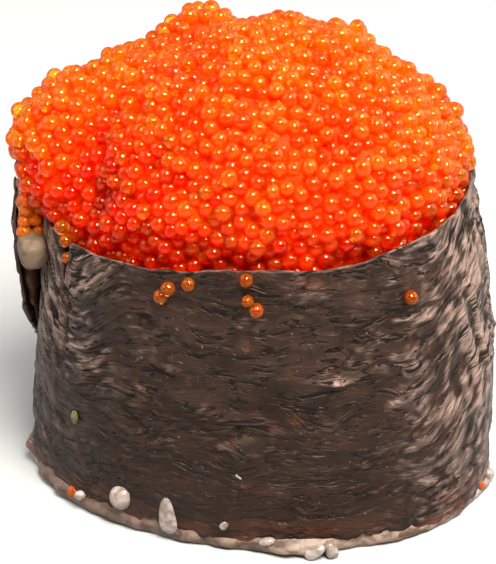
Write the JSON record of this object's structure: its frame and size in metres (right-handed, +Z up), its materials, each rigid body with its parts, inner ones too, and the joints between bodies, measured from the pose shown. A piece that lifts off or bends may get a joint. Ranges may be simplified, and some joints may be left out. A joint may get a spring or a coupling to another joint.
{
  "type": "gunkan sushi",
  "caption": "Oval block of rice wrapped in a strip of dark seaweed with an overlapping loose end, heaped with bright orange flying fish roe.",
  "frame": {"origin": "middle of the bounding box at the underside, on the surface that the sushi stands on", "axes": "+Z up, +X to the right along the long way of the oval, -Y the front"},
  "size_m": [0.055, 0.0418, 0.0554],
  "materials": {
    "rice": "moist cooked rice, off-white and slightly translucent",
    "nori": "dried seaweed gone soft, brown-black, fibrous and wrinkled with a grey sheen",
    "roe": "wet translucent orange eggs with small bright highlights"
  },
  "bodies": {
    "root": {"rice": "rice", "nori": "nori", "roe": "roe"}
  },
  "joints": []
}
